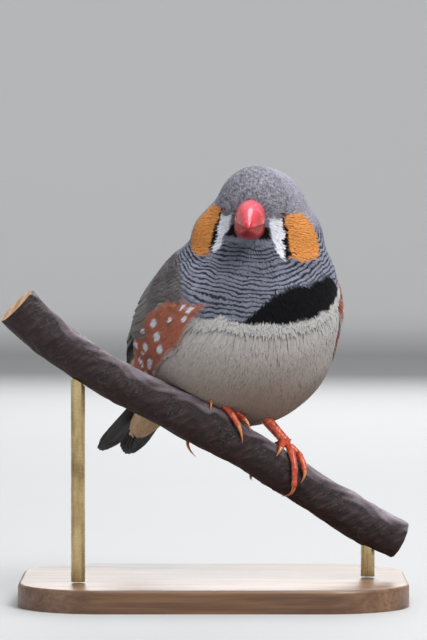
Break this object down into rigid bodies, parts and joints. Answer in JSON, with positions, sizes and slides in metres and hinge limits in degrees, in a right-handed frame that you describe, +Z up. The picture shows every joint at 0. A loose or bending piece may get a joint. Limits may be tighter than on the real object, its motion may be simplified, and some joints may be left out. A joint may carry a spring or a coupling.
{
  "type": "zebra finch model",
  "caption": "Life-size still model of a male zebra finch, fluffed up and dozing on a short cut length of branch, on a plain display stand.",
  "frame": {"origin": "centre of the underside of the stand's base, on the surface that it stands on", "axes": "+Z up, the bird's face looks along -Y, +X towards the low end of the branch, on the bird's left"},
  "size_m": [0.0876, 0.0701, 0.0944],
  "materials": {
    "plumage_grey": "soft grey feathers with fine dark bars on the throat",
    "plumage_back": "grey-brown flight feathers and coverts",
    "plumage_tail": "black tail feathers with white-barred upper coverts",
    "plumage_belly": "cream-white fluffed feathers, chestnut with white spots on the flanks",
    "bill_red": "smooth coral-red horn",
    "leg_orange": "scaled orange-red skin",
    "claw_horn": "translucent pale orange horn",
    "eye_dark": "wet and dark",
    "bark": "dark purple-brown bark with pale specks",
    "stand_wood": "satin walnut",
    "stand_metal": "brushed metal"
  },
  "bodies": {
    "root": {"bill_lower": "bill_red", "bill_upper": "bill_red", "claw_back_left": "claw_horn", "claw_back_right": "claw_horn", "claw_inner_left": "claw_horn", "claw_inner_right": "claw_horn", "claw_middle_left": "claw_horn", "claw_middle_right": "claw_horn", "claw_outer_left": "claw_horn", "claw_outer_right": "claw_horn", "eye_left": "eye_dark", "eye_right": "eye_dark", "head": "plumage_grey", "leg_left": "leg_orange", "leg_right": "leg_orange", "neck": "plumage_grey", "perch": "bark", "stand_base": "stand_wood", "stand_rod_left": "stand_metal", "stand_rod_right": "stand_metal", "tail": "plumage_tail", "toe_back_left": "leg_orange", "toe_back_right": "leg_orange", "toe_inner_left": "leg_orange", "toe_inner_right": "leg_orange", "toe_middle_left": "leg_orange", "toe_middle_right": "leg_orange", "toe_outer_left": "leg_orange", "toe_outer_right": "leg_orange", "torso": "plumage_belly", "wing_left": "plumage_back", "wing_right": "plumage_back"}
  },
  "joints": []
}
